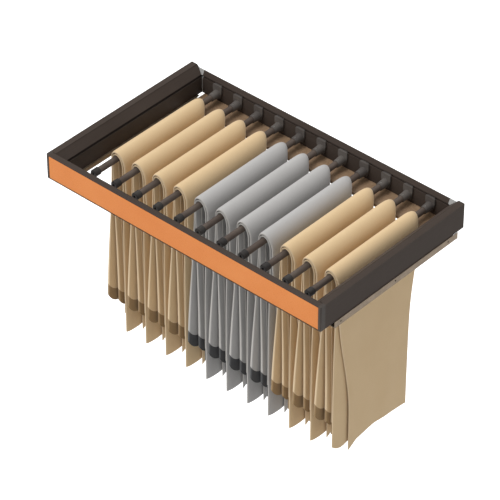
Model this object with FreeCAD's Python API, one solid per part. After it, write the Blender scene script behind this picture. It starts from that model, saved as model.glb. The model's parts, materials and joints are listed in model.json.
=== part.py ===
import FreeCAD
import Part
import math
import os

# A pull-out trouser rack for a wardrobe: an aluminium frame with a leather-faced front,
# eleven rods running front to back, and two ball-bearing runners under its sides.
# Millimetres. X runs across the wardrobe, Y from the rack's front face to the back, Z up.
# The origin is the middle of the rack's front edge, level with the underside of the frame.

# ---- overall ----
opening_width = 864.0
frame_gap = 1.5
frame_depth = 511.0
frame_height = 70.0
profile_wall = 2.0

# ---- the inner side of every profile: land, groove, slope, hanging slot and wall ----
groove_width = 1.2
groove_depth = 1.5
slope_start_drop = 1.0
lip_setback = 2.0
slot_top = 51.5
slot_bottom = 45.0
slot_depth = 8.0

# ---- side profiles ----
side_width = 39.5
land_width = 17.0
end_cap_thickness = 2.0

# ---- front profile, its panel and the corner brackets ----
front_thickness = 16.0
front_width = 28.0
front_land = 14.5
front_top_wall = 3.5
corner_post_width = 8.0
corner_rounding = 3.0
facing_recess = 0.4
facing_thickness = 1.2
facing_rounding = 0.8
board_thickness = 8.0
front_spigot_length = 56.0
front_spigot_margin = 8.0
side_spigot_length = 45.0
side_spigot_width = 11.0
fit_gap = 0.3

# ---- rear profile and its corner connectors ----
rear_thickness = 7.5
rear_drop = 6.0
rear_land = 1.5
rear_slot_depth = 4.5
connector_length = 3.0
rear_spigot_length = 25.0
stub_length = 5.0
stub_margin = 1.0
stub_height = 34.0
stub_base = 6.0

# ---- rear base board ----
base_board_thickness = 8.0
base_board_reach = 62.5
base_board_side_gap = 9.0
board_screw_count = 5
board_screw_margin = 30.0

# ---- rods, the brackets that hang them in the rear slot, and the caps on their free ends ----
rod_count = 11
rod_diameter = 16.0
rod_wall = 1.2
rod_end_margin = 54.0
rod_height = 22.0
rod_fit = 0.1
bracket_width = 28.0
bracket_foot_width = 18.0
bracket_plate = 4.0
bracket_shoulder = 32.0
bracket_foot = 10.6
bracket_rounding = 3.0
hook_reach = 3.2
hook_height = 2.2
hook_gap = 0.2
collar_base_diameter = 23.0
collar_end_diameter = 19.6
collar_length = 24.0
grub_diameter = 4.0
grub_offset = 17.0
grub_recess = 0.6
grub_socket_diameter = 2.0
grub_socket_depth = 0.7
cap_front = 62.0
cap_wall = 4.0
cap_length = 18.0
cap_diameter = 20.0
cap_hole_diameter = 7.0
cap_rounding = 2.0

# ---- screws ----
screw_diameter = 3.0
screw_head_diameter = 4.8
screw_head_height = 1.2
screw_hole_play = 0.1
screw_bite = 8.0
front_screw_inset = 8.0

# ---- runners; distances run inwards from the wardrobe's side ----
runner_setback = 48.0
runner_rear_margin = 23.0
runner_drop = 18.0
runner_sheet = 1.5
inner_sheet = 1.4
running_gap = 0.6
damper_bay = 12.0
lower_ball_gap = 3.5
upper_ball_gap = 3.6
ball_play = 0.05
drawer_channel = 3.2
upstand_height = 11.5
middle_leg_bottom = 1.2
middle_leg_top = 2.0
middle_web_top = 7.8
drawer_leg_height = 5.0
drawer_plate_overhang = 5.0
drawer_plate_inset = 1.0
lower_ball_height = 6.0
upper_ball_drop = 4.2
cage_sheet = 0.6
cage_tab = 0.9
cage_play = 0.3
cage_hole_play = 0.1
cage_top_margin = 0.5
balls_per_row = 9
stop_allowance = 10.0
cage_end_margin = 4.0
ball_end_margin = 6.0
mount_hole_diameter = 4.5
mount_hole_offset = 21.0
mount_hole_spacing = 192.0
mount_hole_count = 3
drawer_screw_count = 3
drawer_screw_end = 32.0

# ---- soft-close dampers ----
damper_width = 11.0
damper_height = 11.5
damper_length = 128.0
damper_end_gap = 10.0
damper_rod_diameter = 3.0
damper_rod_length = 40.0

# ---- front clips and their release levers ----
clip_body_front = 18.0
clip_body_outset = 14.0
clip_body_width = 32.0
clip_wall = 2.5
clip_top_plate = 3.0
clip_bottom_plate = 3.0
clip_body_height = 14.0
clip_bottom_cutback = 6.0
tongue_length = 10.0
tongue_height = 3.5
tongue_drop = 2.0
pivot_diameter = 4.0
pivot_play = 0.05
pivot_inset = 10.0
pivot_behind_front = 10.0
lever_width = 8.0
lever_tail = 5.0
lever_reach = 28.0
hook_width = 4.0
hook_length = 16.0

# ---- trousers hung over the rods ----
garment_front = 141.0
garment_front_flare = 17.0
garment_flare_drop = 400.0
garment_board_gap = 3.5
garment_board_clearance = 3.0
garment_nose_overhang = 4.5
garment_nose_drop = 12.0
garment_rear_taper = 34.0
garment_taper_drop = 268.0
garment_rod_gap = 0.3
garment_top_thickness = 7.2
garment_crown = 8.5
garment_loose_reach = 30.0
garment_loose_height = 5.0
garment_loose_inner_reach = 17.0
garment_nose_rounding = 21.0
garment_fold_half_width = 28.0
garment_inner_half_width = 5.0
short_drop = 467.0
long_drop = 542.0

# ---- worked out from the sizes above ----
half_opening = opening_width / 2
half_frame = half_opening - frame_gap
side_inner = half_frame - side_width
half_front = half_frame - corner_post_width
slope_top = frame_height - slope_start_drop
side_rear = frame_depth - end_cap_thickness
rear_face = frame_depth - rear_thickness
rear_top = frame_height - rear_drop
rear_chamber_middle = (rear_face + side_rear) / 2 + profile_wall / 2
half_rear = side_inner - connector_length
base_board_front = rear_face - base_board_reach
rod_radius = rod_diameter / 2
rod_front = cap_front + cap_wall
rod_rear = rear_face - bracket_plate
rod_pitch = 2 * (side_inner - rod_end_margin) / (rod_count - 1)
rod_places = [(n - (rod_count - 1) / 2) * rod_pitch for n in range(rod_count)]
runner_front = runner_setback
runner_rear = frame_depth - runner_rear_margin
travel = runner_rear - runner_front - stop_allowance

# Distances from the wardrobe's side to each leg of a runner, and the runner's heights.
outer_upstand = runner_sheet + damper_bay
middle_outer_leg = outer_upstand + runner_sheet + lower_ball_gap
drawer_outer_leg = middle_outer_leg + inner_sheet + upper_ball_gap
drawer_inner_leg = drawer_outer_leg + inner_sheet + drawer_channel
middle_inner_leg = drawer_inner_leg + inner_sheet + upper_ball_gap
inner_upstand = middle_inner_leg + inner_sheet + lower_ball_gap
runner_width = inner_upstand + runner_sheet
runner_bottom = -runner_drop
base_top = runner_bottom + runner_sheet
upstand_top = base_top + upstand_height
drawer_screw_inset = (middle_inner_leg + inner_sheet + runner_width) / 2 + fit_gap


# ---- solids ----
def box(x0, x1, y0, y1, z0, z1):
    """A block between two places on each axis, given in either order."""
    corner = FreeCAD.Vector(min(x0, x1), min(y0, y1), min(z0, z1))
    return Part.makeBox(abs(x1 - x0), abs(y1 - y0), abs(z1 - z0), corner)


def bar_along_y(points, y0, y1):
    """A straight bar whose section is given as (x, z) points."""
    corners = [FreeCAD.Vector(x, y0, z) for x, z in points]
    face = Part.Face(Part.makePolygon(corners + corners[:1]))
    return face.extrude(FreeCAD.Vector(0, y1 - y0, 0))


def bar_along_x(points, x0, x1):
    """A straight bar whose section is given as (y, z) points."""
    corners = [FreeCAD.Vector(x0, y, z) for y, z in points]
    face = Part.Face(Part.makePolygon(corners + corners[:1]))
    return face.extrude(FreeCAD.Vector(x1 - x0, 0, 0))


def pin_along_x(x0, x1, y, z, diameter):
    start = FreeCAD.Vector(min(x0, x1), y, z)
    return Part.makeCylinder(diameter / 2, abs(x1 - x0), start, FreeCAD.Vector(1, 0, 0))


def pin_along_y(x, z, y0, y1, diameter):
    return Part.makeCylinder(diameter / 2, y1 - y0, FreeCAD.Vector(x, y0, z), FreeCAD.Vector(0, 1, 0))


def pin_along_z(x, y, z0, z1, diameter):
    return Part.makeCylinder(diameter / 2, z1 - z0, FreeCAD.Vector(x, y, z0))


def rounded(shape, radius, wanted):
    """Rounds the edges whose middle passes the test."""
    edges = [edge for edge in shape.Edges if wanted(edge.CenterOfMass)]
    return shape.makeFillet(radius, edges)


def cut(shape, tools):
    for tool in tools:
        shape = shape.cut(tool)
    return shape


def joined(pieces):
    """One solid made of pieces that meet, without the seams between them."""
    shape = pieces[0]
    for piece in pieces[1:]:
        shape = shape.fuse(piece)
    return shape.removeSplitter()


def mirrored(shape):
    """The left-hand copy of a right-hand piece."""
    return shape.mirror(FreeCAD.Vector(0, 0, 0), FreeCAD.Vector(1, 0, 0))


def save(name, shape):
    os.makedirs("parts", exist_ok=True)
    shape.exportStep(os.path.join("parts", name + ".step"))
    print(name, len(shape.Solids), round(shape.Volume / 1000, 1), "cm3")


def save_pair(name, right_shape):
    """Saves a right-hand piece and its mirror image."""
    save("right_" + name, right_shape)
    save("left_" + name, mirrored(right_shape))


def group(pieces):
    return Part.makeCompound(pieces)


# ---- frame ----
def inner_outline(land, width):
    """The inner side of a profile from its land down to its foot, as distances from its
    outer face with heights."""
    slope_start = land + groove_width
    return [
        (land, frame_height),
        (land, frame_height - groove_depth),
        (slope_start, frame_height - groove_depth),
        (slope_start, slope_top),
        (width - lip_setback, slot_top),
        (width - slot_depth, slot_top),
        (width - slot_depth, slot_bottom),
        (width, slot_bottom),
        (width, 0),
    ]


def hollow(land, width, near_wall, ceiling):
    """The chamber of a profile: level under the land, along the slope and behind the slot."""
    slope_start = land + groove_width
    fall = (slope_top - slot_top) / (width - lip_setback - slope_start)
    lowered = slope_top - profile_wall * math.sqrt(1 + fall * fall)
    behind_slot = width - slot_depth - profile_wall
    far_wall = width - profile_wall
    return [
        (near_wall, profile_wall),
        (near_wall, ceiling),
        (slope_start + (lowered - ceiling) / fall, ceiling),
        (behind_slot, lowered - fall * (behind_slot - slope_start)),
        (behind_slot, slot_bottom - profile_wall),
        (far_wall, slot_bottom - profile_wall),
        (far_wall, profile_wall),
    ]


def side_bar(points, y0, y1):
    """A right-hand bar whose section is given from the frame's outer face."""
    return bar_along_y([(half_frame - u, z) for u, z in points], y0, y1)


def filled_side(y0, y1):
    """A stretch of the side profile without its groove, slot and chamber."""
    points = [
        (0, 0),
        (0, frame_height),
        (land_width, frame_height),
        (land_width + groove_width, slope_top),
        (side_width - lip_setback, slot_top),
        (side_width, slot_bottom),
        (side_width, 0),
    ]
    return side_bar(points, y0, y1)


def side_profile():
    outline = [(0, 0), (0, frame_height)] + inner_outline(land_width, side_width)
    section = hollow(land_width, side_width, profile_wall, frame_height - profile_wall)
    solid = side_bar(outline, front_thickness, side_rear)
    chamber = side_bar(section, front_thickness, side_rear)
    return cut(solid, [chamber, connector_stub(fit_gap)] + drawer_screw_holes())


def end_cap():
    return filled_side(side_rear, frame_depth)


def rear_outline():
    """Section of the rear profile as (y, z) points."""
    return [
        (frame_depth, 0),
        (frame_depth, rear_top),
        (frame_depth - rear_land, rear_top),
        (rear_face, slot_top),
        (rear_face + rear_slot_depth, slot_top),
        (rear_face + rear_slot_depth, slot_bottom),
        (rear_face, slot_bottom),
        (rear_face, 0),
    ]


def rear_profile():
    body = bar_along_x(rear_outline(), -half_rear, half_rear)
    chamber = box(
        -half_rear, half_rear,
        rear_face + profile_wall, side_rear,
        profile_wall, slot_bottom - profile_wall,
    )
    return cut(body, [chamber] + board_screw_holes() + rear_screw_holes())


def connector_stub(play):
    """The tongue of a rear connector that hooks into the end of the side profile."""
    return box(
        side_inner + stub_length, side_inner - fit_gap,
        rear_face + stub_margin - play, side_rear - fit_gap + play,
        stub_base - play, stub_base + stub_height + play,
    )


def rear_corner_connector():
    """Carries the rear profile's section on to the slope of the side profile."""
    body = bar_along_x(rear_outline(), half_rear, half_frame - land_width)
    body = body.cut(filled_side(0, frame_depth))
    spigot = box(
        half_rear - rear_spigot_length, half_rear,
        rear_face + profile_wall + fit_gap, side_rear - fit_gap,
        stub_base, stub_base + stub_height,
    )
    return cut(joined([body, spigot, connector_stub(0)]), rear_screw_holes())


def front_profile():
    recess_back = front_thickness - profile_wall
    outline = [
        (0, 0),
        (0, profile_wall),
        (recess_back, profile_wall),
        (recess_back, frame_height - front_top_wall),
        (0, frame_height - front_top_wall),
        (0, frame_height),
    ] + inner_outline(front_land, front_width)
    section = hollow(
        front_land, front_width, front_thickness, frame_height - front_top_wall - profile_wall,
    )
    body = bar_along_x(outline, -half_front, half_front)
    chamber = bar_along_x(section, -side_inner, side_inner)
    corner = filled_side(front_thickness, front_width)
    return cut(body, [chamber, corner, mirrored(corner)] + front_screw_holes())


def front_panel_board():
    front = facing_recess + facing_thickness
    top = frame_height - front_top_wall
    return box(-half_front, half_front, front, front + board_thickness, profile_wall, top)


def leather_facing():
    top = frame_height - front_top_wall
    sheet = box(
        -half_front, half_front,
        facing_recess, facing_recess + facing_thickness,
        profile_wall, top,
    )
    return rounded(sheet, facing_rounding, lambda middle: middle.y < facing_recess + fit_gap)


def front_corner_bracket():
    """The corner post that shows beside the panel, with a spigot into each profile."""
    post = box(half_front, half_frame, 0, front_thickness, 0, frame_height)

    def outer_front_edge(middle):
        upright = abs(middle.z - frame_height / 2) < 1
        return upright and middle.x > half_frame - 1 and middle.y < 1

    post = rounded(post, corner_rounding, outer_front_edge)
    front_spigot = box(
        half_front - front_spigot_length, half_front,
        front_spigot_face(), front_thickness - profile_wall - fit_gap,
        front_spigot_margin, frame_height - front_top_wall - front_spigot_margin,
    )
    side_spigot = box(
        half_frame - profile_wall - fit_gap, half_frame - side_spigot_width,
        front_thickness, front_thickness + side_spigot_length,
        profile_wall + fit_gap, slot_top,
    )
    return cut(joined([post, front_spigot, side_spigot]), front_screw_holes())


def front_spigot_face():
    return facing_recess + facing_thickness + board_thickness + fit_gap


def rear_base_board():
    half = side_inner - base_board_side_gap
    board = box(-half, half, base_board_front, frame_depth, -base_board_thickness, 0)
    return cut(board, board_screw_holes())


# ---- rods ----
def rod(x):
    outer = pin_along_y(x, rod_height, rod_front, rod_rear, rod_diameter)
    bore = pin_along_y(x, rod_height, rod_front, rod_rear, rod_diameter - 2 * rod_wall)
    return outer.cut(bore)


def rod_bracket(x):
    """A moulded bracket: a plate hooked into the slot of the rear profile, with a collar that
    carries the rod."""
    half = bracket_width / 2
    half_foot = bracket_foot_width / 2
    hook_bottom = slot_bottom + hook_gap
    hook_top = hook_bottom + hook_height
    end = rod_rear - collar_length
    corners = [
        (-half, hook_top), (half, hook_top), (half, bracket_shoulder),
        (half_foot, bracket_foot), (-half_foot, bracket_foot), (-half, bracket_shoulder),
    ]
    plate = bar_along_y([(x + dx, z) for dx, z in corners], rod_rear, rear_face)
    plate = rounded(plate, bracket_rounding, lambda middle: is_top_corner(middle, x, hook_top))
    hook = box(
        x - half + bracket_rounding, x + half - bracket_rounding,
        rear_face, rear_face + hook_reach, hook_bottom, hook_top,
    )
    collar = Part.makeCone(
        collar_base_diameter / 2, collar_end_diameter / 2, collar_length,
        FreeCAD.Vector(x, rod_rear, rod_height), FreeCAD.Vector(0, -1, 0),
    )
    mouth = pin_along_y(x, rod_height, end, rod_rear, rod_diameter + 2 * rod_fit)
    hole = pin_along_z(
        x, rod_rear - grub_offset, rod_height, rod_height + collar_base_diameter,
        grub_diameter + 2 * screw_hole_play,
    )
    return cut(joined([plate, hook, collar]), [mouth, hole])


def is_top_corner(middle, x, top):
    """True for the two upright corners of a bracket's plate, seen along the rod."""
    at_a_side = abs(abs(middle.x - x) - bracket_width / 2) < fit_gap
    return at_a_side and abs(middle.z - top) < fit_gap


def rod_end_cap(x):
    """The moulded cap on the free front end of a rod, with a round hole in its face."""
    cap = pin_along_y(x, rod_height, cap_front, cap_front + cap_length, cap_diameter)
    cap = rounded(cap, cap_rounding, lambda middle: middle.y < cap_front + fit_gap)
    seat = pin_along_y(x, rod_height, rod_front, cap_front + cap_length, rod_diameter)
    hole = pin_along_y(x, rod_height, cap_front, rod_front, cap_hole_diameter)
    return cut(cap, [seat, hole])


# ---- screws and their holes ----
def grub_screw(x):
    """A socket screw that clamps the rod in its collar; its end stands on the rod."""
    y = rod_rear - grub_offset
    share = grub_offset / collar_length
    slimming = (collar_base_diameter - collar_end_diameter) / 2 * share
    collar_top = rod_height + collar_base_diameter / 2 - slimming
    top = collar_top - grub_recess
    body = pin_along_z(x, y, rod_height + rod_radius, top, grub_diameter)
    socket = pin_along_z(x, y, top - grub_socket_depth, top, grub_socket_diameter)
    return body.cut(socket)


def rod_screws():
    return group([grub_screw(x) for x in rod_places])


def countersunk(x, z, head_y, end_y, play):
    """A countersunk screw along Y, or the hole for one, from its head's face to its end."""
    inwards = math.copysign(1, end_y - head_y)
    root = screw_diameter / 2 + play
    head = screw_head_diameter / 2 + play
    depth = screw_head_height + play
    neck = head_y + inwards * depth
    cone = Part.makeCone(
        head, root, depth, FreeCAD.Vector(x, head_y, z), FreeCAD.Vector(0, inwards, 0),
    )
    shank = pin_along_y(x, z, min(neck, end_y), max(neck, end_y), 2 * root)
    return joined([shank, cone])


def front_screws(play):
    """Countersunk screws that hold the front spigots to the web behind them."""
    x = half_front - front_spigot_length + front_screw_inset
    heights = (frame_height / 3, 2 * frame_height / 3)
    return [
        countersunk(side * x, z, front_spigot_face(), front_thickness, play)
        for side in (-1, 1) for z in heights
    ]


def front_screw_holes():
    return front_screws(screw_hole_play)


def rear_screws(play):
    """Countersunk screws through the rear wall into the connectors' spigots."""
    x = half_rear - rear_spigot_length / 2
    end = rear_face + profile_wall + 2 * fit_gap
    return [
        countersunk(side * x, stub_base + stub_height / 2, frame_depth, end, play)
        for side in (-1, 1)
    ]


def rear_screw_holes():
    return rear_screws(screw_hole_play)


def frame_screws():
    return group(front_screws(0) + rear_screws(0))


def board_screw_places():
    """Places along the rear profile's chamber."""
    last = half_rear - rear_spigot_length - board_screw_margin
    step = 2 * last / (board_screw_count - 1)
    return [n * step - last for n in range(board_screw_count)]


def board_screw_holes():
    return [
        pin_along_z(
            x, rear_chamber_middle, -base_board_thickness, profile_wall,
            screw_diameter + 2 * screw_hole_play,
        )
        for x in board_screw_places()
    ]


def board_screws():
    screws = []
    for x in board_screw_places():
        head = pin_along_z(
            x, rear_chamber_middle, -base_board_thickness - screw_head_height,
            -base_board_thickness, screw_head_diameter,
        )
        shank = pin_along_z(
            x, rear_chamber_middle, -base_board_thickness, screw_bite, screw_diameter,
        )
        screws.append(joined([head, shank]))
    return group(screws)


def drawer_screw_places():
    """Right-hand places of the screws that hold a runner under a side profile."""
    first = runner_front + drawer_screw_end
    last = runner_rear - drawer_screw_end
    step = (last - first) / (drawer_screw_count - 1)
    return [(half_opening - drawer_screw_inset, first + n * step) for n in range(drawer_screw_count)]


def drawer_screw_holes():
    return [
        pin_along_z(x, y, -runner_sheet, screw_bite, screw_diameter + 2 * screw_hole_play)
        for x, y in drawer_screw_places()
    ]


def drawer_screws():
    screws = []
    for x, y in drawer_screw_places():
        head = pin_along_z(x, y, -runner_sheet - screw_head_height, -runner_sheet, screw_head_diameter)
        shank = pin_along_z(x, y, -runner_sheet, screw_bite, screw_diameter)
        screws.append(joined([head, shank]))
    return screws


# ---- runners ----
def strip(u0, u1, z0, z1, y0=runner_front, y1=runner_rear):
    """A straight strip of a right-hand runner; u is the distance from the wardrobe's side."""
    return box(half_opening - u0, half_opening - u1, y0, y1, z0, z1)


def mount_hole_places():
    return [
        runner_front + mount_hole_offset + n * mount_hole_spacing for n in range(mount_hole_count)
    ]


def cabinet_member():
    flange = strip(0, runner_sheet, runner_bottom, -running_gap)
    base = strip(0, runner_width, runner_bottom, base_top)
    outer = strip(outer_upstand, outer_upstand + runner_sheet, runner_bottom, upstand_top)
    inner = strip(inner_upstand, runner_width, runner_bottom, upstand_top)
    middle_height = (base_top - running_gap) / 2
    holes = [
        pin_along_x(half_opening - runner_sheet, half_opening, y, middle_height, mount_hole_diameter)
        for y in mount_hole_places()
    ]
    return cut(joined([flange, base, outer, inner]), holes)


def intermediate_member():
    bottom = base_top + middle_leg_bottom
    outer = strip(middle_outer_leg, middle_outer_leg + inner_sheet, bottom, -middle_leg_top)
    inner = strip(middle_inner_leg, middle_inner_leg + inner_sheet, bottom, -middle_leg_top)
    web = strip(
        middle_outer_leg, middle_inner_leg + inner_sheet,
        -middle_web_top - inner_sheet, -middle_web_top,
    )
    return joined([outer, inner, web])


def drawer_member():
    plate = strip(
        outer_upstand + drawer_plate_inset, side_width + frame_gap + drawer_plate_overhang,
        -runner_sheet, 0,
    )
    bottom = -runner_sheet - drawer_leg_height
    outer = strip(drawer_outer_leg, drawer_outer_leg + inner_sheet, bottom, 0)
    inner = strip(drawer_inner_leg, drawer_inner_leg + inner_sheet, bottom, 0)
    return cut(joined([plate, outer, inner]), drawer_screw_holes())


def ball_cage(row_places, ball_z, ball_diameter, plate_bottom, tab_top):
    """A strip with two upright tabs, and the steel balls that sit in the holes of the tabs."""
    first = runner_front + travel / 4 + cage_end_margin
    last = runner_rear - travel / 4 - cage_end_margin
    plate = strip(
        row_places[0] - cage_tab / 2, row_places[1] + cage_tab / 2,
        plate_bottom, plate_bottom + cage_sheet, first, last,
    )
    tabs = [
        strip(u - cage_tab / 2, u + cage_tab / 2, plate_bottom, tab_top, first, last)
        for u in row_places
    ]
    step = (last - first - 2 * ball_end_margin) / (balls_per_row - 1)
    cage = joined([plate] + tabs)
    balls = []
    for u in row_places:
        for n in range(balls_per_row):
            x = half_opening - u
            y = first + ball_end_margin + n * step
            hole = ball_diameter + 2 * cage_hole_play
            cage = cage.cut(pin_along_x(x - cage_tab, x + cage_tab, y, ball_z, hole))
            balls.append(Part.makeSphere(ball_diameter / 2, FreeCAD.Vector(x, y, ball_z)))
    return group([cage] + balls)


def lower_ball_cage():
    rows = (
        outer_upstand + runner_sheet + lower_ball_gap / 2,
        inner_upstand - lower_ball_gap / 2,
    )
    diameter = lower_ball_gap - 2 * ball_play
    ball_z = base_top + lower_ball_height
    tab_top = ball_z + diameter / 2 + cage_hole_play + cage_top_margin
    return ball_cage(rows, ball_z, diameter, base_top + cage_play, tab_top)


def upper_ball_cage():
    rows = (
        drawer_outer_leg - upper_ball_gap / 2,
        middle_inner_leg - upper_ball_gap / 2,
    )
    diameter = upper_ball_gap - 2 * ball_play
    tab_top = -upper_ball_drop + diameter / 2 + cage_hole_play + cage_top_margin
    return ball_cage(rows, -upper_ball_drop, diameter, -middle_web_top + cage_play / 2, tab_top)


def damper():
    """A soft-close cylinder in its holder, lying in the outer bay of the cabinet member."""
    middle = runner_sheet + damper_bay / 2
    rear = runner_rear - damper_end_gap
    front = rear - damper_length
    holder = strip(
        middle - damper_width / 2, middle + damper_width / 2,
        base_top, base_top + damper_height / 2, front, rear,
    )
    x = half_opening - middle
    z = base_top + damper_height / 2
    barrel = pin_along_y(x, z, front, rear, damper_width - 2 * fit_gap)
    plunger = pin_along_y(x, z, front - damper_rod_length, front, damper_rod_diameter)
    return joined([holder, barrel, plunger])


def drawer_channel_middle():
    return (drawer_outer_leg + inner_sheet + drawer_inner_leg) / 2


def front_clip():
    """The clip under a front corner that locks the rack onto its runner."""
    outer = clip_body_outset
    inner = clip_body_outset + clip_body_width
    rear = runner_front - fit_gap
    top = strip(outer, inner, -clip_top_plate, 0, clip_body_front, rear)
    bottom = strip(
        outer, inner - clip_bottom_cutback, -clip_body_height,
        -clip_body_height + clip_bottom_plate, clip_body_front, rear,
    )
    wall = strip(outer, outer + clip_wall, -clip_body_height, 0, clip_body_front, rear)
    pivot = pin_along_z(
        half_opening - outer - pivot_inset, clip_body_front + pivot_behind_front,
        -clip_body_height, 0, pivot_diameter,
    )
    half_tongue = drawer_channel / 2 - fit_gap
    middle = drawer_channel_middle()
    tongue = strip(
        middle - half_tongue, middle + half_tongue,
        -tongue_drop - tongue_height, -tongue_drop, rear - clip_wall, rear + tongue_length,
    )
    return joined([top, bottom, wall, pivot, tongue])


def release_lever():
    pivot_u = clip_body_outset + pivot_inset
    pivot_y = clip_body_front + pivot_behind_front
    low = -clip_body_height + clip_bottom_plate + fit_gap
    high = -clip_top_plate - fit_gap
    arm = strip(
        pivot_u - lever_tail, pivot_u + lever_reach, low, high,
        pivot_y - lever_width / 2, pivot_y + lever_width / 2,
    )
    hook = strip(
        pivot_u - hook_width, pivot_u, low, -tongue_drop - tongue_height - fit_gap,
        pivot_y, pivot_y + hook_length,
    )
    bore = pin_along_z(
        half_opening - pivot_u, pivot_y, low, high, pivot_diameter + 2 * pivot_play,
    )
    return joined([arm, hook]).cut(bore)


# ---- trousers ----
def trousers(x):
    """A folded pair hung over a rod: a short drop on the left and a long one on the right."""
    inner = rod_radius + garment_rod_gap
    outer = inner + garment_top_thickness
    shoulder = rod_height + garment_crown
    short_end = rod_height - short_drop
    long_end = rod_height - long_drop
    front = garment_front - garment_front_flare
    rear = base_board_front + garment_nose_overhang
    drop_rear = base_board_front - garment_board_gap
    diagonal = math.sqrt(0.5)
    top = shoulder + outer

    def at(dx, z):
        return FreeCAD.Vector(x + dx, front, z)

    def bend(dx0, z0, dx1, z1):
        """A curve that leaves its first point level and comes down upright on its second."""
        middle = at(dx0 + (dx1 - dx0) * diagonal, z1 + (z0 - z1) * diagonal)
        return Part.Arc(at(dx0, z0), middle, at(dx1, z1)).toShape()

    on_rod = inner * diagonal
    left_of_top = at(-inner * math.sin(math.pi / 8), rod_height + inner * math.cos(math.pi / 8))
    edges = [
        Part.makeLine(at(-outer, rod_height), at(-outer, shoulder)),
        bend(0, top, -outer, shoulder),
        bend(0, top, garment_loose_reach, garment_loose_height),
        Part.makeLine(
            at(garment_loose_reach, garment_loose_height), at(garment_fold_half_width, long_end),
        ),
        Part.makeLine(at(garment_fold_half_width, long_end), at(garment_inner_half_width, long_end)),
        Part.makeLine(at(garment_inner_half_width, long_end), at(garment_loose_inner_reach, 0)),
        bend(on_rod, rod_height + on_rod, garment_loose_inner_reach, 0),
        Part.Arc(
            at(on_rod, rod_height + on_rod), left_of_top, at(-inner, rod_height),
        ).toShape(),
        Part.makeLine(at(-inner, rod_height), at(-garment_inner_half_width, short_end)),
        Part.makeLine(at(-garment_inner_half_width, short_end), at(-garment_fold_half_width, short_end)),
        Part.makeLine(at(-garment_fold_half_width, short_end), at(-outer, rod_height)),
    ]
    outline = Part.Wire(Part.__sortEdges__(edges))
    hung = Part.Face(outline).extrude(FreeCAD.Vector(0, rear - front, 0))
    side = [
        (garment_front, top),
        (front, rod_height - garment_flare_drop),
        (front, long_end),
        (drop_rear - garment_rear_taper, long_end),
        (drop_rear - garment_rear_taper, rod_height - garment_taper_drop),
        (drop_rear, garment_board_clearance),
        (rear, rod_height - garment_nose_drop),
        (rear, top - garment_nose_rounding),
        (rear - garment_nose_rounding / 3, top - garment_nose_rounding / 3),
        (rear - garment_nose_rounding, top),
    ]
    half_reach = max(garment_fold_half_width, garment_loose_reach)
    return hung.common(bar_along_x(side, x - half_reach, x + half_reach))


# ---- one file per piece ----
save("front_profile", front_profile())
save("front_panel_board", front_panel_board())
save("leather_facing", leather_facing())
save("rear_profile", rear_profile())
save("rear_base_board", rear_base_board())
save("rear_end_caps", group([end_cap(), mirrored(end_cap())]))
save_pair("side_profile", side_profile())
save_pair("front_corner_bracket", front_corner_bracket())
save_pair("rear_corner_connector", rear_corner_connector())

for number, place in enumerate(rod_places, 1):
    save("trouser_rod_%02d" % number, rod(place))
    save("trousers_%02d" % number, trousers(place))
save("rod_brackets", group([rod_bracket(x) for x in rod_places]))
save("rod_end_caps", group([rod_end_cap(x) for x in rod_places]))
save("rod_screws", rod_screws())
save("frame_screws", frame_screws())
save("board_screws", board_screws())
save("runner_screws", group(drawer_screws() + [mirrored(screw) for screw in drawer_screws()]))

save_pair("cabinet_member", cabinet_member())
save_pair("intermediate_member", intermediate_member())
save_pair("drawer_member", drawer_member())
save_pair("lower_ball_cage", lower_ball_cage())
save_pair("upper_ball_cage", upper_ball_cage())
save_pair("damper", damper())
save_pair("front_clip", front_clip())
save_pair("release_lever", release_lever())
print("rod pitch", rod_pitch, "travel", travel, "runner width", runner_width)
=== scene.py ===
# %% [markdown]
# A pull-out trouser rack: a dark bronze aluminium frame on two drawer runners, eleven rods
# from front to back, and eleven pairs of trousers folded over the rods. The metal, plastic
# and board parts come in ready made, at their real size, as a fixed frame. This lesson gives
# them their finishes and models what is soft: the leather on the front and the trousers.
# The frame is loaded before anything else, because every new piece takes its place from it.

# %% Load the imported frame
import bpy
import json
import math
from mathutils import Matrix, Vector


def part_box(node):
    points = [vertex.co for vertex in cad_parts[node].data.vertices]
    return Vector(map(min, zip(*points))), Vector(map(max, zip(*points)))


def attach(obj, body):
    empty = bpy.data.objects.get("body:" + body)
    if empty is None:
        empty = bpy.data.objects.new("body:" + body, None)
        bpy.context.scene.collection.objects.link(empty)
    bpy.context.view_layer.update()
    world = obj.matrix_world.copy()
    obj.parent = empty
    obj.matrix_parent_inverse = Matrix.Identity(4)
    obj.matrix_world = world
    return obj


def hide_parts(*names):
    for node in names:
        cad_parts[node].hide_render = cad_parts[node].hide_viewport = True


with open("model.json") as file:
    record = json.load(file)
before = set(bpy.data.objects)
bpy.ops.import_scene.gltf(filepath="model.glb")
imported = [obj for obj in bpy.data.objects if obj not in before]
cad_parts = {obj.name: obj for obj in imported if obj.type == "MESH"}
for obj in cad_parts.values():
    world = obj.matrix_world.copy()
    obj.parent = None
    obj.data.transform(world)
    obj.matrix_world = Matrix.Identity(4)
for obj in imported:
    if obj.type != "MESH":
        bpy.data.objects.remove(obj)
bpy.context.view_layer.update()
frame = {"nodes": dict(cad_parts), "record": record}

nodes = frame["nodes"]
slot_of = {part["node"]: part["material_slot"] for part in frame["record"]["subparts"]}

# %% [markdown]
# A finish on a real object is never one flat colour: it varies a little over the surface, and
# so does its gloss. Here a finish is a node tree. Writing such trees link by link hides what
# they do, so two small classes come first. A Value stands for a socket and may be used in
# ordinary sums, and a Finish is one material, with a single method that adds any other node.

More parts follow.
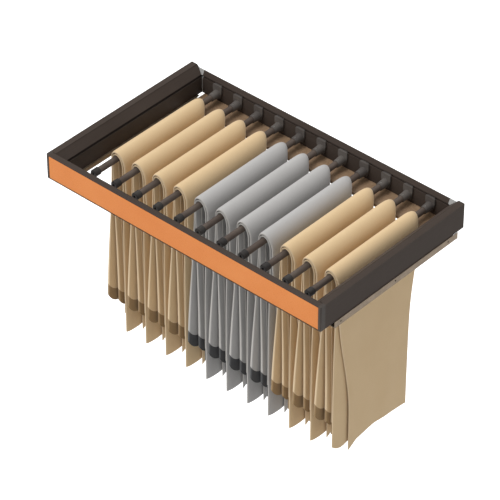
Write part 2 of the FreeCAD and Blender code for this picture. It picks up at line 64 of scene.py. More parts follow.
# %% Shader sums
class Value:
    """A socket of a node tree that can be added, subtracted, multiplied and raised."""

    def __init__(self, finish, socket):
        self.finish = finish
        self.socket = socket

    def sum_with(self, operation, first, second):
        return self.finish.node("Math", {"operation": operation}, {0: first, 1: second})

    def __add__(self, other):
        return self.sum_with("ADD", self, other)

    def __radd__(self, other):
        return self.sum_with("ADD", other, self)

    def __sub__(self, other):
        return self.sum_with("SUBTRACT", self, other)

    def __rsub__(self, other):
        return self.sum_with("SUBTRACT", other, self)

    def __mul__(self, other):
        return self.sum_with("MULTIPLY", self, other)

    def __rmul__(self, other):
        return self.sum_with("MULTIPLY", other, self)


class Finish:
    """A material whose surface is fed by nodes."""

    def __init__(self, name, **constants):
        self.material = bpy.data.materials.new(name)
        self.material.use_nodes = True
        self.tree = self.material.node_tree
        self.surface = self.tree.nodes["Principled BSDF"]
        for label, number in constants.items():
            self.surface.inputs[label.replace("_", " ")].default_value = number

    def node(self, kind, settings=None, sockets=None, output=0):
        made = self.tree.nodes.new("ShaderNode" + kind)
        for label, setting in (settings or {}).items():
            setattr(made, label, setting)
        for label, content in (sockets or {}).items():
            self.feed(made.inputs[label], content)
        return Value(self, made.outputs[output])

    def feed(self, socket, content):
        if isinstance(content, Value):
            self.tree.links.new(content.socket, socket)
        else:
            socket.default_value = content

    def show(self, label, content):
        self.feed(self.surface.inputs[label], content)


print("shader classes ready")

# %% [markdown]
# A few shader steps turn up in nearly every finish: the place on the object in metres, noise
# that may be stretched along one direction, a blend of two colours, a mask with soft edges,
# and a bump. Each is a short function, so a finish below reads as a list of what it shows.

# %% Steps that several finishes share
def place(finish, stretch=(1, 1, 1)):
    """The point on the piece in metres, each axis multiplied by its stretch."""
    point = finish.node("TexCoord", output="Object")
    return finish.node("Mapping", {}, {"Vector": point, "Scale": stretch})


def noise(finish, vector, scale, detail=3.0):
    return finish.node("TexNoise", {}, {"Vector": vector, "Scale": scale, "Detail": detail})


def between(finish, number, low, high):
    """0 below the low number, 1 above the high one, and smooth between them."""
    return finish.node(
        "MapRange", {"interpolation_type": "SMOOTHSTEP"},
        {"Value": number, "From Min": low, "From Max": high},
    )


def blend(finish, share, first, second):
    """A colour between two colours."""
    return finish.node("Mix", {"data_type": "RGBA"}, {0: share, 6: first, 7: second}, output=2)


def bump(finish, height, distance, strength=1.0):
    relief = finish.node(
        "Bump", {}, {"Height": height, "Distance": distance, "Strength": strength},
    )
    finish.show("Normal", relief)


screen_white = 255
screen_gamma = 2.2


def colour(red, green, blue):
    """A colour given as on a screen, 0 to 255, turned into the linear light of a shader."""
    linear = [(part / screen_white) ** screen_gamma for part in (red, green, blue)]
    return tuple(linear) + (1.0,)


print("orange as linear light:", colour(222, 142, 88))

# %% [markdown]
# The profiles are extruded aluminium, blasted a little and anodised dark bronze. The die
# leaves fine lines along a profile, which spread its reflections across it. So the noise is
# stretched along the bar, and it varies colour, gloss and relief a very little. A profile
# that runs across the wardrobe needs its lines across too, so one function makes both.

# %% Bronze profiles
def bronze(name, stretch):
    made = Finish(name, IOR=1.5, Specular_IOR_Level=0.05)
    lines = noise(made, place(made, stretch), 900.0, 2.0)
    cloud = noise(made, place(made), 6.0)
    mixed = lines * 0.4 + cloud * 0.6
    made.show("Base Color", blend(
        made, between(made, mixed, 0.2, 0.8), colour(66, 58, 53), colour(74, 66, 61),
    ))
    made.show("Roughness", lines * 0.1 + 0.45)
    bump(made, lines, 0.00002, 0.4)
    return made.material


bronze_across = bronze("bronze_across", (0.02, 1, 1))
bronze_along = bronze("bronze_along", (1, 0.02, 1))
print("bronze finishes ready")

# %% [markdown]
# The corner posts are cast and coated to match, so they have no drawing lines. The powder
# coat has a fine orange-peel relief, and its colour is the profiles' own, a shade flatter.

# %% Cast corner posts and coated rods
def coated(name, dark, light, roughness, grain, relief):
    """A coat of paint or rubber: a fine even relief under a faintly clouded colour."""
    made = Finish(name, IOR=1.5, Specular_IOR_Level=0.2)
    point = place(made)
    cloud = noise(made, point, 22.0)
    skin = noise(made, point, grain, 2.0)
    made.show("Base Color", blend(made, between(made, cloud, 0.35, 0.65), dark, light))
    made.show("Roughness", cloud * 0.1 + skin * 0.08 + roughness)
    bump(made, skin, relief, 0.6)
    return made.material


bronze_casting = coated(
    "bronze_casting", colour(64, 58, 54), colour(71, 65, 60), 0.5, 1500, 0.00004,
)
rod_coating = coated(
    "rod_coating", colour(80, 70, 64), colour(92, 82, 75), 0.5, 2600, 0.00003,
)
print("coated finishes ready")

# %% [markdown]
# Moulded parts have a fine spark-eroded texture from the mould. It scatters light, so the
# plastic looks soft and even. Dark, bronze-grey and light grey parts share one function.

# %% Moulded plastics
mould_grain = 1900
dark_plastic = coated(
    "dark_plastic", colour(48, 45, 44), colour(58, 55, 53), 0.48, mould_grain, 0.00005,
)
bracket_plastic = coated(
    "bracket_plastic", colour(84, 79, 76), colour(96, 91, 87), 0.5, mould_grain, 0.00005,
)
grey_plastic = coated(
    "grey_plastic", colour(148, 148, 147), colour(162, 162, 160), 0.45, mould_grain, 0.00004,
)
print("plastic finishes ready")

# %% [markdown]
# Runners are rolled from zinc-plated sheet. Zinc shows a faint patchy bloom and rolling lines
# along the strip, and it is duller than bare steel. Balls and screws are harder and brighter.

# %% Steel
def steel(name, dark, light, roughness, stretch):
    made = Finish(name, Metallic=0.6, IOR=1.5, Specular_IOR_Level=0.3)
    lines = noise(made, place(made, stretch), 700.0, 2.0)
    bloom = noise(made, place(made), 45.0, 4.0)
    made.show("Base Color", blend(made, between(made, bloom, 0.3, 0.7), dark, light))
    made.show("Roughness", bloom * 0.14 + lines * 0.1 + roughness)
    bump(made, lines, 0.00002, 0.5)
    return made.material


rolled_along = (1, 0.02, 1)
no_direction = (1, 1, 1)
zinc_steel = steel(
    "zinc_steel", colour(118, 104, 88), colour(136, 121, 104), 0.38, rolled_along,
)
bearing_steel = steel(
    "bearing_steel", colour(200, 200, 198), colour(220, 220, 218), 0.12, no_direction,
)
screw_steel = steel(
    "screw_steel", colour(118, 114, 110), colour(140, 136, 132), 0.3, no_direction,
)
print("steel finishes ready")

# %% [markdown]
# The base board is faced with brown wood-grain melamine. Its grain is noise stretched far
# along the board and bent by a slower noise, so the lines wander as they do in wood. The
# panel behind the leather is raw fibreboard: short pale fibres with no direction.

# %% Boards
def wood(name, dark, light, stretch, roughness):
    made = Finish(name, IOR=1.5)
    drift = noise(made, place(made), 5.0)
    point = place(made, stretch)
    bent = made.node("VectorMath", {"operation": "ADD"}, {0: point, 1: drift})
    grain = noise(made, bent, 130.0, 5.0)
    pores = noise(made, point, 900.0, 2.0)
    made.show("Base Color", blend(
        made, between(made, grain * 0.8 + pores * 0.2, 0.32, 0.68), dark, light,
    ))
    made.show("Roughness", grain * 0.12 + roughness)
    bump(made, pores, 0.00004, 0.5)
    return made.material


grain_across = (0.06, 1, 1)
base_board = wood(
    "base_board", colour(134, 108, 84), colour(156, 129, 102), grain_across, 0.5,
)
panel_board = wood(
    "panel_board", colour(168, 140, 104), colour(190, 162, 124), no_direction, 0.7,
)
print("board finishes ready")

# %% [markdown]
# The leather on the front is dyed orange, semi-matt, with a fine pebble. Small cells with
# grooves between them give the pebble, a second finer set keeps it from looking regular, and
# the dye is a little deeper in the grooves. Its own sheen is low and even.

# %% Leather
def leather(name):
    made = Finish(name, IOR=1.46, Specular_IOR_Level=0.18)
    point = place(made)
    coarse = made.node(
        "TexVoronoi", {"feature": "DISTANCE_TO_EDGE"}, {"Vector": point, "Scale": 620.0},
    )
    fine = made.node("TexVoronoi", {"feature": "F1"}, {"Vector": point, "Scale": 1500.0})
    pebble = between(made, coarse, 0.0, 0.16) * 0.7 + fine * 0.3
    cloud = noise(made, point, 9.0, 4.0)
    tone = pebble * 0.45 + cloud * 0.55
    made.show("Base Color", blend(
        made, between(made, tone, 0.25, 0.75), colour(216, 127, 68), colour(228, 143, 82),
    ))
    made.show("Roughness", 0.62 - pebble * 0.14)
    bump(made, pebble, 0.00016, 0.7)
    return made.material


orange_leather = leather("orange_leather")
print("leather ready")

# %% [markdown]
# Trousers are twill: fine diagonal ribs. The rib lines follow the cloth, not the room, so they
# are drawn on the UV map, which holds real metres: across the fold in u, and along the leg
# from its hem in v. The same map puts painted shade on the deep hem band at a leg's end
# and a painted highlight along the pressed front crease. A stitch line shows the sewn hem.

# %% Cloth
twill_pitch = 0.0011
hem_depth = 0.038
hem_blur = 0.0012
stitch_inset = 0.004
crease_highlight_width = 0.004


def twill(name, shade, light, hem):
    made = Finish(
        name, IOR=1.45, Specular_IOR_Level=0.2, Sheen_Weight=0.2, Sheen_Roughness=0.5,
    )
    cloth = made.node("TexCoord", output="UV")
    across = made.node("SeparateXYZ", {}, {0: cloth})
    along = Value(made, across.socket.node.outputs[1])
    turn = (across + along) * (2 * math.pi / twill_pitch)
    rib = made.node("Math", {"operation": "SINE"}, {0: turn}) * 0.5 + 0.5
    threads = noise(made, place(made), 1400.0, 2.0)
    cloud = noise(made, place(made), 12.0)
    ground = blend(made, between(made, cloud * 0.4 + threads * 0.6, 0.2, 0.8), shade, light)
    # Painted highlight: a pale line along the front crease, mixed in at a fifth of its strength.
    crease = 1 - between(made, across, 0.0, crease_highlight_width)
    crease_highlighted = blend(made, crease * 0.2, ground, colour(240, 232, 216))
    # Painted shade: the hem band at the left end of a leg takes the darker hem colour.
    hem_shade_mask = 1 - between(made, along, hem_depth - hem_blur, hem_depth)
    hem_shaded = blend(made, hem_shade_mask, crease_highlighted, hem)
    from_stitch = along - (hem_depth - stitch_inset)
    to_stitch = made.node("Math", {"operation": "ABSOLUTE"}, {0: from_stitch})
    stitch = (1 - between(made, to_stitch, 0.0003, 0.0008)) * 0.5
    made.show("Base Color", blend(made, stitch, hem_shaded, hem))
    made.show("Roughness", threads * 0.1 + 0.78)
    bump(made, rib * 0.6 + threads * 0.4, 0.00008, 0.5)
    return made.material


# The third colour of each cloth is the painted shade of its hem band.
tan_twill = twill(
    "tan_twill", colour(213, 184, 142), colour(221, 193, 152), colour(152, 124, 88),
)
grey_twill = twill(
    "grey_twill", colour(174, 172, 170), colour(183, 181, 179), colour(70, 70, 71),
)
print("cloth finishes ready")

# %% [markdown]
# Every node of the frame names the finish that its real piece has. The finish goes into the
# object's own material slots, which leaves the mesh alone. Profiles that run across the
# wardrobe take the bronze with its lines across.

# %% Dress the frame
finishes = {
    "bronze_aluminium": bronze_along,
    "bronze_casting": bronze_casting,
    "panel_board": panel_board,
    "orange_leather": orange_leather,
    "base_board": base_board,
    "rod_coating": rod_coating,
    "dark_plastic": dark_plastic,
    "bracket_plastic": bracket_plastic,
    "grey_plastic": grey_plastic,
    "zinc_steel": zinc_steel,
    "bearing_steel": bearing_steel,
    "screw_steel": screw_steel,
    "tan_twill": tan_twill,
    "grey_twill": grey_twill,
}
runs_across = ("front_profile", "rear_profile")
for name, node in nodes.items():
    finish = bronze_across if name in runs_across else finishes[slot_of[name]]
    for material_slot in node.material_slots:
        material_slot.material = finish
print("finishes on", len(nodes), "nodes")

# %% [markdown]
# An extruded or moulded edge is never knife sharp, and its small round catches a thin line of
# light. The frame's meshes must stay as they are, so the rounding is a live modifier: Weld
# joins their loose triangles, and Bevel rounds each real edge. Small parts do without.

# %% Soften the frame's edges
edge_rounding = 0.0004
weld_distance = 0.00002
sharp_angle = math.radians(38)


def soften(node):
    weld = node.modifiers.new("weld", "WELD")
    weld.merge_threshold = weld_distance
    edges = node.modifiers.new("rounding", "BEVEL")
    edges.width = edge_rounding
    edges.segments = 2
    edges.limit_method = "ANGLE"
    edges.angle_limit = sharp_angle
    edges.use_clamp_overlap = True
    edges.harden_normals = False


rounded_nodes = [
    "front_profile", "rear_profile", "rear_base_board",
    "left_side_profile", "right_side_profile",
    "left_front_corner_bracket", "right_front_corner_bracket",
]
for name in rounded_nodes:
    soften(nodes[name])
print("edges rounded on", rounded_nodes)

# %% [markdown]
# The facing is a strip of leather glued to a board and turned over its edges. A cube is placed
# at the strip's real size, its front is inset and pushed out a hair for the soft crown, and
# its edges are bevelled. All of it is done in edit mode, as by hand, on a selection by place.

# %% Leather facing
def nothing_selected():
    bpy.ops.object.select_all(action="DESELECT")


def block(name, low, high):
    """A cube between two corners, with its place in its mesh."""
    nothing_selected()
    middle = (low + high) / 2
    bpy.ops.mesh.primitive_cube_add(size=1, location=middle)
    made = bpy.context.object
    made.name = name
    made.scale = high - low
    bpy.ops.object.transform_apply(location=True, rotation=True, scale=True)
    return made


def select_faces(made, wanted):
    """Selects the faces whose normal and middle pass the test, in edit mode."""
    bpy.ops.object.mode_set(mode="EDIT")
    bpy.ops.mesh.select_mode(type="FACE")
    bpy.ops.mesh.select_all(action="DESELECT")
    bpy.ops.object.mode_set(mode="OBJECT")
    for face in made.data.polygons:
        face.select = wanted(face.normal, face.center)
    bpy.ops.object.mode_set(mode="EDIT")


facing_low, facing_high = [Vector(corner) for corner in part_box("leather_facing")]
turned_edge = 0.0045
crown = 0.0003
facing = block("facing", facing_low + Vector((0, crown, 0)), facing_high)
select_faces(facing, lambda normal, middle: normal.y < -0.9)
bpy.ops.mesh.inset(thickness=turned_edge, depth=0)
bpy.ops.transform.translate(value=(0, -crown, 0))
bpy.ops.mesh.select_all(action="SELECT")
bpy.ops.mesh.bevel(offset=0.0004, segments=2, affect="EDGES")
bpy.ops.object.mode_set(mode="OBJECT")
bpy.ops.object.shade_smooth_by_angle(angle=math.radians(40))
facing.data.materials.append(orange_leather)
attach(facing, "rack")
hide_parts("leather_facing")
print("facing", facing.dimensions[:])

# %% [markdown]
# Each pair of trousers hangs over its rod in three layers: the outer leg, the inner leg, and
# the cloth that lies on the rod itself. A pressed leg is a flat tube of cloth: two faces that
# meet in a rounded crease at the front and another at the rear. It rises from a hem on the
# left, goes over the rod in a loose arch, and falls to its other end on the right. The last
# pair on the right hangs with an inner leg of its own. Folded cloth is regular, so its middle
# surface is drawn by formula first, and three smooth curves are enough for that.

# %% Smooth curves for shapes
def step(number, low, high):
    """0 below low, 1 above high, smooth between."""
    share = min(max((number - low) / (high - low), 0), 1)
    return share * share * (3 - 2 * share)


def settle(distance, length):
    """Rises from 0 towards 1 over about the given length."""
    return 1 - math.exp(-distance / length)


def rounding(distance, length):
    """0 beyond the given length from an edge, and 1 at the edge, along a quarter circle."""
    share = min(max(1 - distance / length, 0), 1)
    return 1 - math.sqrt(1 - share * share)


print("half way:", step(0.5, 0, 1), settle(1, 1), rounding(0.5, 1))

# %% [markdown]
# A layer says how far it reaches left and right over the rod, how high its arch is, and how
# thick it lies. Its drops say where the crease runs, how the face turns in behind the crease,
# and how the hem ends. All of it is in millimetres, across from the rod's axis, back from the
# rack's front and up from the frame's underside.

# %% Where a layer lies
mm = 0.001
rod_low, rod_high = [Vector(corner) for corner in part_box("trouser_rod_01")]
rod_height = (rod_low.z + rod_high.z) / 2 / mm
rod_radius = (rod_high.x - rod_low.x) / 2 / mm
crease_front = 141.0
nose_rear = 446.0


class Layer:
    """Reach is (left, right) at the shoulders, thickness is (left, top, right), and the tube
    is open to the open thickness at its left hem."""

    def __init__(
        self, name, reach, top, loose_height, thickness, open_hem, setback=0.0, shorter=0.0,
    ):
        self.name = name
        self.reach = reach
        self.top = top
        self.loose_height = loose_height
        self.thickness = thickness
        self.open_hem = open_hem
        self.setback = setback
        self.shorter = shorter


class OuterLeg(Layer):
    """Flares towards its left hem. On the right its front edge leans back as it falls."""

    flare = 9.5
    left_lean = 17
    left_turn = 6.0
    left_hem_height = -424
    left_tip = 21
    waist = 3.6
    right_start = 1.5
    right_lean = 45
    right_turn = 4
    right_hem_height = -489
    right_tip = 30
    corner_drop = 18
    corner_distance = 217

    def left_front(self, share):
        return crease_front - self.left_lean * step(share, 0, 1.05)

    def left_across(self, share, behind):
        out = self.flare * share ** 1.2
        turned = self.left_turn * step(share, 0, 1) * settle(behind, 14)
        return -self.reach[0] - out + turned

    def left_hem(self, behind):
        return self.left_hem_height + self.left_tip * math.exp(-behind / 10) - 0.03 * behind

    def right_front(self, share):
        return crease_front + self.right_start + self.right_lean * step(share, 0.02, 0.8)

    def right_across(self, share, behind):
        drawn_in = self.waist * math.exp(-(((share - 0.35) / 0.22) ** 2))
        return self.reach[1] - drawn_in + self.right_turn * share * settle(behind, 22)

    def right_hem(self, behind):
        tip = self.right_tip * math.exp(-behind / 32)
        corner = self.corner_drop * (behind / self.corner_distance) ** 3
        return self.right_hem_height - tip - corner


class InnerLeg(Layer):
    """Lies inside the outer leg, and both its drops close in under the rod."""

    left_lean = 1.5
    left_tuck = 9.0
    left_turn = 3.0
    left_hem_height = -434
    left_tip = 16
    right_start = 2.5
    right_tuck = 4.4
    right_turn = 5.0
    right_hem_height = -509
    right_rise = 4

    def left_front(self, share):
        return crease_front - self.left_lean * share

    def left_across(self, share, behind):
        tucked = self.left_tuck * step(share, 0, 0.9)
        return -self.reach[0] + tucked + self.left_turn * share * settle(behind, 10)

    def left_hem(self, behind):
        return self.left_hem_height + self.left_tip * math.exp(-behind / 8) + 0.02 * behind

    def right_front(self, share):
        return crease_front + self.right_start

    def right_across(self, share, behind):
        turned = self.right_turn * step(share, 0.08, 0.6) * settle(behind, 8)
        return self.reach[1] - self.right_tuck * step(share, 0, 0.5) + turned

    def right_hem(self, behind):
        return self.right_hem_height + self.right_rise * settle(behind, 60)


class LastInnerLeg(InnerLeg):
    """The pair at the right end, whose inner leg ends a little higher at its front crease."""

    right_hem_height = -491
    right_fall = 13
    right_rise = 8

    def right_hem(self, behind):
        fall = self.right_fall * settle(behind, 12)
        return self.right_hem_height - fall + self.right_rise * step(behind, 24, 50)


class RodLayer(Layer):
    """Lies on the rod itself, set back from the front crease of the legs round it."""

    left_tuck = 16.0
    left_tip = 12
    right_tuck = 1.5
    hem_height = -470.0

    def left_front(self, share):
        return crease_front + self.setback * (1 - 0.5 * step(share, 0.1, 1))

    def left_across(self, share, behind):
        return -self.reach[0] + self.left_tuck * step(share, 0.03, 0.95)

    def left_hem(self, behind):
        return self.hem_height + self.left_tip * math.exp(-behind / 9)

    def right_front(self, share):
        return crease_front + self.setback

    def right_across(self, share, behind):
        return self.reach[1] - self.right_tuck * step(share, 0, 0.3)

    def right_hem(self, behind):
        return self.hem_height


rod_clearance = 0.3
on_rod = rod_radius + rod_clearance
inner_shape = ((on_rod + 3.3, 19.4), 35.0, 2, (2.6, 3.0, 3.4), 9.5)
layers = [
    RodLayer("rod_layer", (on_rod + 1, on_rod + 1), rod_height + on_rod + 1, rod_height,
             (1.8, 1.8, 2.4), 4.0, setback=17, shorter=26),
    InnerLeg("inner_leg", *inner_shape, shorter=22),
    OuterLeg("outer_leg", (on_rod + 6.6, 27.6), 42.6, 2, (2.4, 4.2, 3.4), 9.5),
    LastInnerLeg("last_inner_leg", *inner_shape, shorter=22),
]
for layer in layers:
    print(layer.name, "reach", layer.reach, "top", round(layer.top, 1), "thick", layer.thickness)

# %% [markdown]
# A point of the middle surface is found from two shares: how far down its side it is, and how
# far from front to rear. At the rear the arch rounds off into a nose, and the rear edge leans
# forward as it falls. A slow wave keeps the drops from being flat, and it grows downwards.

# %% The middle surface
drop_rows = 30
arch_rows = 18
columns = 26
nose_length = 25
front_length = 11
lean_top = 2
lean_fall = 190
hem_setback = 48
rear_lean = 30
rear_inset = 2
slow_wave, slow_length = 1.6, 26
quick_wave, quick_length = 0.7, 11
still_length = 60


def rear_edge(height):
    fallen = max(lean_top - height, 0) / lean_fall
    return nose_rear - hem_setback + rear_lean * math.exp(-(fallen ** 1.8))


def drop_rear(layer, height):
    """The rear edge of a layer's drop. A layer that is shorter ends further forward."""
    return rear_edge(height) - rear_inset - layer.shorter * 0.3


def wave(share, y):
    slow = slow_wave * math.sin((y - crease_front) / slow_length + 0.8)
    quick = quick_wave * math.sin((y - crease_front) / quick_length + 2 + 2.5 * share)
    return share * (slow + quick) * step(y, crease_front, crease_front + still_length)


def drop_point(layer, is_left, share, column_share):
    front_of = layer.left_front if is_left else layer.right_front
    across_of = layer.left_across if is_left else layer.right_across
    hem_of = layer.left_hem if is_left else layer.right_hem
    start = rod_height if is_left else layer.loose_height
    front = front_of(share)
    rear = drop_rear(layer, start + (hem_of(100) - start) * share)
    behind = (rear - front) * column_share
    y = front + behind
    height = start + (hem_of(behind) - start) * share
    fading = 1 - step(share, 0, 0.16)
    pull = 5 * rounding(rear - y, nose_length) * fading + rounding(behind, front_length) * fading
    across = across_of(share, behind) + (pull * 0.3 if is_left else -pull) + wave(share, y)
    return Vector((across, y, height))


nose_reach = 16
deepest_sag = 8.5


def arch_point(layer, turn, column_share):
    """Turn runs from -1 at the left shoulder through 0 at the top to 1 at the right."""
    angle = turn * math.pi / 2
    share = (turn + 1) / 2
    front = layer.left_front(0) + (layer.right_front(0) - layer.left_front(0)) * share
    nose = nose_reach - layer.shorter * 0.7
    rear = drop_rear(layer, rod_height) + nose * math.cos(angle) ** 2
    y = front + (rear - front) * column_share
    at_rear = rounding(rear - y, nose_length)
    at_front = rounding(y - front, front_length)
    reach = layer.reach[1] - 5 * at_rear - at_front
    start = layer.loose_height
    if turn < 0:
        reach = layer.reach[0] - 1.5 * at_rear - 0.3 * at_front
        start = rod_height
    sag = min(layer.top - rod_height - on_rod - 1.5, deepest_sag)
    top = layer.top - sag * at_rear - min(sag, 1.5) * at_front
    height = start + (top - start) * math.cos(angle)
    return Vector((reach * math.sin(angle), y, height))


def middle_surface(layer):
    """Rows of points from the left hem over the rod to the right hem, with the half
    thickness of each row. The points stand closer near both creases."""
    shares = [0.5 - 0.5 * math.cos(math.pi * n / (columns - 1)) for n in range(columns)]
    left, top, right = [size / 2 for size in layer.thickness]
    rows = []
    halves = []
    for n in range(drop_rows):
        share = 1 - n / drop_rows
        rows.append([drop_point(layer, True, share, c) for c in shares])
        halves.append(left + (layer.open_hem / 2 - left) * step(share, 0.15, 1))
    for n in range(arch_rows + 1):
        turn = 2 * n / arch_rows - 1
        rows.append([arch_point(layer, turn, c) for c in shares])
        side = left if turn < 0 else right
        halves.append(side + (top - side) * math.cos(turn * math.pi / 2))
    for n in range(1, drop_rows + 1):
        rows.append([drop_point(layer, False, n / drop_rows, c) for c in shares])
        halves.append(right)
    return rows, halves


print(len(middle_surface(layers[0])[0]), "rows of", columns)

# %% [markdown]
# The middle surface becomes cloth in Blender's own cloth simulation, which lets the drops
# settle under their weight. What lies over the rod is pinned, and the pins weaken down the
# drops, so the pressed shape is kept and only eases. The result is read back as rows.

# %% Let the drops settle
settling_frames = 14


def sheet_object(name, rows):
    mesh = bpy.data.meshes.new(name)
    count = len(rows[0])
    quads = [
        (r * count + c, (r + 1) * count + c, (r + 1) * count + c + 1, r * count + c + 1)
        for r in range(len(rows) - 1) for c in range(count - 1)
    ]
    mesh.from_pydata([point * mm for row in rows for point in row], [], quads)
    sheet = bpy.data.objects.new(name, mesh)
    bpy.context.scene.collection.objects.link(sheet)
    return sheet


def settled(name, rows):
    sheet = sheet_object(name, rows)
    pins = sheet.vertex_groups.new(name="pins")
    count = len(rows[0])
    for r, row in enumerate(rows):
        from_arch = max(drop_rows - r, r - drop_rows - arch_rows, 0) / drop_rows
        for c in range(count):
            pins.add([r * count + c], 1 - 0.55 * step(from_arch, 0, 0.9), "REPLACE")
    cloth = sheet.modifiers.new("cloth", "CLOTH")
    cloth.settings.quality = 6
    cloth.settings.mass = 0.3
    cloth.settings.tension_stiffness = 30
    cloth.settings.compression_stiffness = 30
    cloth.settings.bending_stiffness = 4
    cloth.settings.vertex_group_mass = "pins"
    cloth.settings.pin_stiffness = 0.6
    cloth.collision_settings.use_collision = False
    cloth.collision_settings.use_self_collision = False
    cloth.point_cache.frame_end = settling_frames
    for number in range(1, settling_frames + 1):
        bpy.context.scene.frame_set(number)
    shape = sheet.evaluated_get(bpy.context.evaluated_depsgraph_get())
    points = [vertex.co / mm for vertex in shape.data.vertices]
    moved = max((point - old).length for point, old in zip(points, sum(rows, [])))
    print(name, "settled by up to", round(moved, 1), "mm")
    bpy.data.objects.remove(sheet)
    bpy.context.scene.frame_set(1)
    return [points[r * count:(r + 1) * count] for r in range(len(rows))]


middles = []
for layer in layers:
    rows, halves = middle_surface(layer)
    middles.append((layer.name, settled(layer.name, rows), halves))

# %% [markdown]
# Each row of the middle surface now becomes a closed loop round the flat tube: along its
# outer face, round the rear crease, back along its inner face and round the front crease. The
# loops are joined into one skin and closed at both ends. The UV map holds real metres: u runs
# from the front crease, alike on both faces, and v along the leg from its left hem.

# %% From middle surface to leg
crease_steps = 5


def lengths_along(points):
    total = [0.0]
    for first, second in zip(points, points[1:]):
        total.append(total[-1] + (second - first).length)
    return total


def outwards(rows, r, c):
    """The direction away from the rod at a point of the middle surface."""
    along = rows[min(r + 1, len(rows) - 1)][c] - rows[max(r - 1, 0)][c]
    across = rows[r][min(c + 1, columns - 1)] - rows[r][max(c - 1, 0)]
    return along.cross(across).normalized()


def loop_round(rows, r, half):
    """Points round one row, each with its distance from the front crease."""
    row = rows[r]
    from_crease = [half + length for length in lengths_along(row)]
    normals = [outwards(rows, r, c) for c in range(columns)]
    forwards = (row[0] - row[1]).normalized()
    backwards = (row[-1] - row[-2]).normalized()
    loop = [(row[c] + normals[c] * half, from_crease[c]) for c in range(columns)]
    for n in range(1, crease_steps):
        angle = math.pi * n / crease_steps
        side = normals[-1] * math.cos(angle) + backwards * math.sin(angle)
        loop.append((row[-1] + side * half, from_crease[-1] + half * math.sin(angle)))
    loop += [(row[c] - normals[c] * half, from_crease[c]) for c in reversed(range(columns))]
    for n in range(1, crease_steps):
        angle = math.pi * n / crease_steps
        side = -normals[0] * math.cos(angle) + forwards * math.sin(angle)
        loop.append((row[0] + side * half, half * (1 - math.sin(angle))))
    return loop


def leg(name, rows, halves):
    loops = [loop_round(rows, r, halves[r]) for r in range(len(rows))]
    size = len(loops[0])
    last = (len(loops) - 1) * size
    along = lengths_along([row[columns // 2] for row in rows])
    faces = []
    for low in range(0, last, size):
        high = low + size
        for k in range(size):
            beside = (k + 1) % size
            faces.append((low + k, high + k, high + beside, low + beside))
    faces.append(tuple(range(size)))
    faces.append(tuple(range(last + size - 1, last - 1, -1)))
    mesh = bpy.data.meshes.new(name)
    mesh.from_pydata([point * mm for loop in loops for point, u in loop], [], faces)
    layout = mesh.uv_layers.new(name="cloth")
    for corner in mesh.loops:
        r, k = divmod(corner.vertex_index, size)
        layout.data[corner.index].uv = (loops[r][k][1] * mm, along[r] * mm)
    mesh.materials.append(tan_twill)
    piece = bpy.data.objects.new(name, mesh)
    bpy.context.scene.collection.objects.link(piece)
    nothing_selected()
    piece.select_set(True)
    bpy.context.view_layer.objects.active = piece
    bpy.ops.object.shade_smooth_by_angle(angle=math.radians(70))
    width = sum(lengths_along(row)[-1] for row in rows) / len(rows) * mm
    print(name, "flat", round(width, 3), "by", round(along[-1] * mm, 3), len(faces), "faces")
    return piece, (width, along[-1] * mm)


patterns = [leg(name, rows, halves) for name, rows, halves in middles]

# %% [markdown]
# One pair is modelled and the rest are copies, each with its own mesh, moved to its rod. The
# trousers are tan, grey, then tan again, and each pair's colour is the one that the frame's
# own node for it names. The plain stand-ins of the frame are hidden by these pieces.

# %% Eleven pairs
def hang(pattern, number):
    node_name = "trousers_%02d" % number
    rod_name = "trouser_rod_%02d" % number
    low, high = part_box(rod_name)
    middle = (low[0] + high[0]) / 2
    piece = pattern.copy()
    piece.data = pattern.data.copy()
    piece.name = "%s_%02d" % (pattern.name, number)
    piece.data.name = piece.name
    piece.data.transform(Matrix.Translation((middle, 0, 0)))
    if slot_of[node_name] == "grey_twill":
        piece.data.materials[0] = grey_twill
    bpy.context.scene.collection.objects.link(piece)
    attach(piece, "rack")
    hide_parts(node_name)
    return piece


pairs = [name for name in nodes if name.startswith("trousers_")]
for number in range(1, len(pairs) + 1):
    left_out = "inner_leg" if number == len(pairs) else "last_inner_leg"
    for pattern, flat in patterns:
        if pattern.name != left_out:
            hang(pattern, number)
for pattern, flat in patterns:
    bpy.data.objects.remove(pattern)
print(len(pairs), "pairs hung")

# %% [markdown]
# The studio is plain: a white floor well below the rack, an even pale sky for fill, and three
# soft suns. The main one stands high at the front left, so the tops are brightest and the
# right side is a tone darker. The second, from behind, lightens the slopes, and the third, low
# in front, reaches in between the hanging legs. For the camera, and in gloss, the floor and
# the sky are white, and the floor still takes the shadow.

# %% Floor
floor_depth = 1.6
floor_span = 60
nothing_selected()
bpy.ops.mesh.primitive_plane_add(size=floor_span, location=(0, 0, -floor_depth))
floor = bpy.context.object
floor.name = "floor"
floor_finish = Finish("floor", Roughness=0.9, Specular_IOR_Level=0.1)
floor_finish.show("Base Color", (0.6, 0.6, 0.6, 1))
white = floor_finish.node("BsdfPrincipled", {}, {
    "Base Color": (0.9, 0.9, 0.9, 1), "Roughness": 0.9,
    "Emission Color": (1, 1, 1, 1), "Emission Strength": 0.5,
})


def seen_directly(tree):
    """1 where a ray comes from the camera, a glossy surface or a clear one."""
    path = tree.nodes.new("ShaderNodeLightPath")
    either = path.outputs["Is Camera Ray"]
    for label in ("Is Glossy Ray", "Is Transmission Ray"):
        larger = tree.nodes.new("ShaderNodeMath")
        larger.operation = "MAXIMUM"
        tree.links.new(either, larger.inputs[0])
        tree.links.new(path.outputs[label], larger.inputs[1])
        either = larger.outputs[0]
    return either


mixed = floor_finish.node("MixShader", {}, {
    0: Value(floor_finish, seen_directly(floor_finish.tree)),
    1: Value(floor_finish, floor_finish.surface.outputs[0]),
    2: white,
})
floor_finish.feed(floor_finish.tree.nodes["Material Output"].inputs["Surface"], mixed)
floor.data.materials.append(floor_finish.material)
print("floor at", -floor_depth)

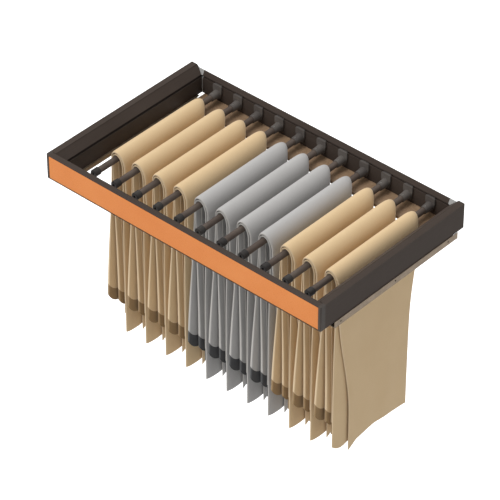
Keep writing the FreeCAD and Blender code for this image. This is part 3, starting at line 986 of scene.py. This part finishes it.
# %% Sky and suns
sky_level = 0.5
sky = bpy.data.worlds.new("studio")
sky.use_nodes = True
tree = sky.node_tree
background = tree.nodes["Background"]
background.inputs["Color"].default_value = (1, 1, 1, 1)
background.inputs["Strength"].default_value = sky_level
seen_sky = tree.nodes.new("ShaderNodeBackground")
seen_sky.inputs["Color"].default_value = (1, 1, 1, 1)
seen_sky.inputs["Strength"].default_value = 1.0
choice = tree.nodes.new("ShaderNodeMixShader")
tree.links.new(seen_directly(tree), choice.inputs[0])
tree.links.new(background.outputs[0], choice.inputs[1])
tree.links.new(seen_sky.outputs[0], choice.inputs[2])
tree.links.new(choice.outputs[0], tree.nodes["World Output"].inputs["Surface"])
bpy.context.scene.world = sky


def sun(name, towards, strength, softness):
    """A distant lamp that shines from a direction given as a vector."""
    data = bpy.data.lights.new(name, "SUN")
    data.energy = strength
    data.angle = math.radians(softness)
    lamp = bpy.data.objects.new(name, data)
    lamp.rotation_euler = Vector(towards).to_track_quat("Z", "Y").to_euler()
    bpy.context.scene.collection.objects.link(lamp)
    return lamp


sun("key", (-0.3, -0.42, 0.95), 1.75, 30)
sun("rear", (-0.1, 0.6, 0.8), 0.5, 40)
sun("front", (-0.55, -0.82, 0.2), 0.6, 40)
print("three suns and the sky")

# %% [markdown]
# The camera stands far off with a long lens, so that the rack's sides stay almost parallel.
# Its direction is given by two angles, its three axes follow from them, and its distance sets
# how much the far side shrinks.

# %% Camera
azimuth = math.radians(41.82)
elevation = math.radians(38.56)
backwards = Vector((
    math.sin(azimuth) * math.cos(elevation),
    -math.cos(azimuth) * math.cos(elevation),
    math.sin(elevation),
))
rightwards = Vector((math.cos(azimuth), math.sin(azimuth), 0))
upwards = backwards.cross(rightwards)
camera_place = Vector((3.87507, -4.08678, 4.49449))
data = bpy.data.cameras.new("camera")
data.sensor_width = 36
data.lens = 224.27
data.clip_end = 60
camera = bpy.data.objects.new("camera", data)
turned = Matrix((rightwards, upwards, backwards)).transposed()
camera.matrix_world = Matrix.Translation(camera_place) @ turned.to_4x4()
bpy.context.scene.collection.objects.link(camera)
bpy.context.scene.camera = camera
bpy.context.scene.view_settings.view_transform = "Standard"
print("camera at", camera_place[:])
